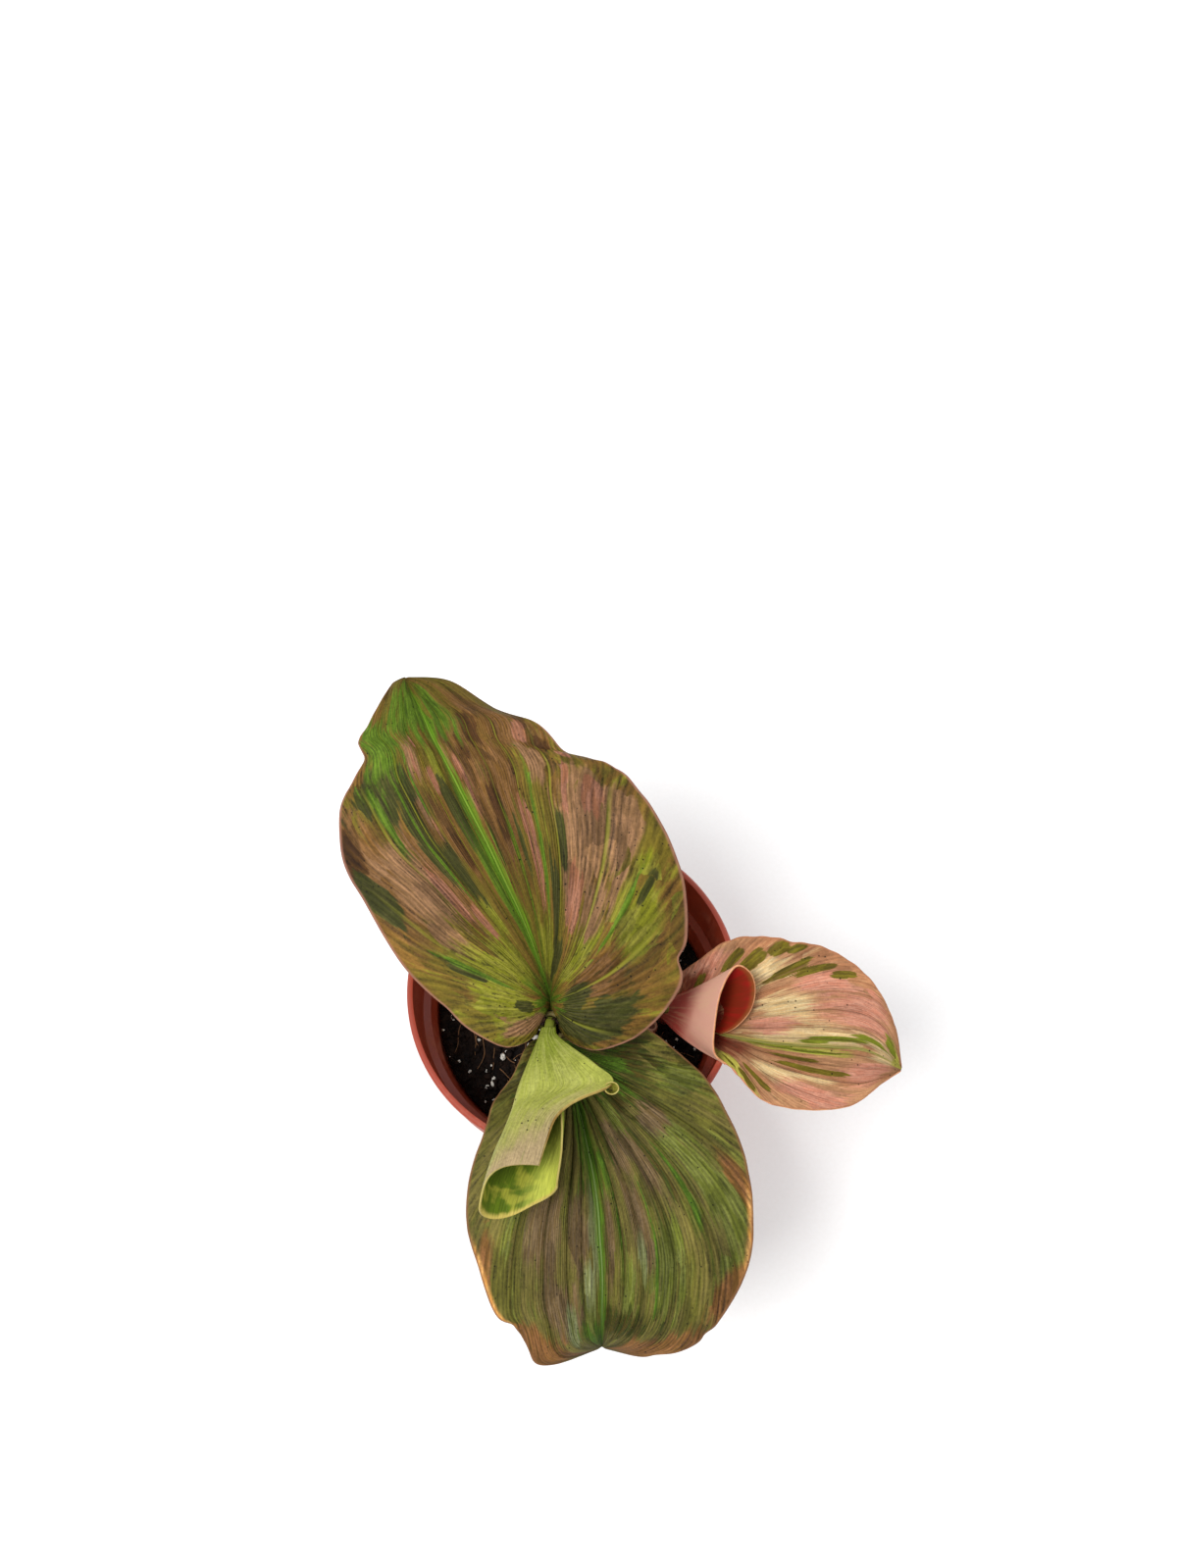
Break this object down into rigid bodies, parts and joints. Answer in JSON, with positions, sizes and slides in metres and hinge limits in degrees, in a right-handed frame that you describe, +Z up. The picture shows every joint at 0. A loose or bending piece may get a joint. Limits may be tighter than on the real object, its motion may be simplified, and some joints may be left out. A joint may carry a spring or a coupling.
{
  "type": "potted variegated peacock ginger plant",
  "caption": "Low foliage plant with broad ribbed variegated leaves, a half-furled young leaf and a pink leaf rolled at its base, in a small round nursery pot.",
  "frame": {"origin": "centre of the underside of the pot's base, where the pot rests", "axes": "+Z up along the pot's axis; +X to the right towards the pink leaf; -Y to the front, where the lower leaf hangs over the rim"},
  "size_m": [0.1365, 0.1551, 0.1103],
  "materials": {
    "pot": "satin terracotta-coloured thin plastic",
    "soil": "rough dark potting mix with white perlite grains",
    "leaf_back": "satin leaf, olive brown with green, pink and dark green streaks",
    "leaf_front": "satin leaf, grey brown with green streaks and orange margins",
    "leaf_young": "pale green underside of a young leaf",
    "leaf_pink": "satin leaf, salmon pink with yellow-green streaks",
    "cut_stub": "dry cut stalk with a pale ring"
  },
  "bodies": {
    "root": {"pot": "pot", "soil": "soil", "leaf_back": "leaf_back", "leaf_front": "leaf_front", "leaf_young": "leaf_young", "leaf_pink": "leaf_pink", "cut_stub": "cut_stub"}
  },
  "joints": []
}
